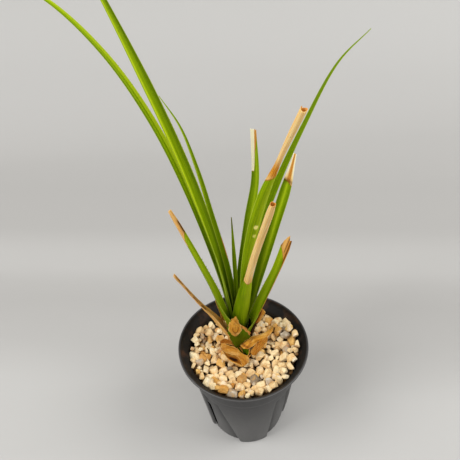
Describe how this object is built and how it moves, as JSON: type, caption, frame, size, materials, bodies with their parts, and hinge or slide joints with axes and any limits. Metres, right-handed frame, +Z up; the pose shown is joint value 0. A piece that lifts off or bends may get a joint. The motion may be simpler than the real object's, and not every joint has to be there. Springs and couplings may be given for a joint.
{
  "type": "potted bromeliad",
  "caption": "Potted bromeliad with narrow channelled leaves, most of them trimmed short, in pale gravel in a small slit-sided nursery pot.",
  "frame": {"origin": "middle of the pot's underside, on the surface that it stands on", "axes": "+Z up along the pot's axis, -Y towards the viewer, +X to the viewer's right"},
  "size_m": [0.2124, 0.1107, 0.3392],
  "materials": {
    "pot_plastic": "fine matt injection-moulded plastic, near black",
    "gravel": "dry, chalky, rounded gravel, cream with some tan and grey stones",
    "green_leaf": "satin yellow-green leaf with fine lengthwise veins",
    "dry_sheath": "dry papery tan leaf tissue with lengthwise fibres",
    "cut_shoot": "cut green shoot inside a browned sheath",
    "stem_wood": "rough brown fibrous stem"
  },
  "bodies": {
    "root": {"pot": "pot_plastic", "gravel_bed": "gravel", "stem": "stem_wood", "leaf_spear": "green_leaf", "leaf_back_left": "green_leaf", "leaf_back_right": "green_leaf", "leaf_left_broad": "green_leaf", "leaf_right_rolled": "green_leaf", "leaf_right_pointed": "green_leaf", "leaf_left_arching": "green_leaf", "leaf_right_notched": "green_leaf", "leaf_left_short": "green_leaf", "leaf_front_rolled": "green_leaf", "leaf_right_short": "green_leaf", "cut_side_shoot": "cut_shoot", "dry_collar": "dry_sheath", "dry_sheath_fallen": "dry_sheath", "dry_sheath_front": "dry_sheath", "dry_sheath_right": "dry_sheath", "dry_splinter_back": "dry_sheath", "dry_strip_lower": "dry_sheath", "dry_strip_upper": "dry_sheath", "leaf_left_dead": "dry_sheath", "stone_01": "gravel", "stone_02": "gravel", "stone_03": "gravel", "stone_04": "gravel", "stone_05": "gravel", "stone_06": "gravel", "stone_07": "gravel", "stone_08": "gravel", "stone_09": "gravel", "stone_10": "gravel", "stone_11": "gravel", "stone_12": "gravel", "stone_13": "gravel", "stone_14": "gravel", "stone_15": "gravel", "stone_16": "gravel", "stone_17": "gravel", "stone_18": "gravel"}
  },
  "joints": []
}
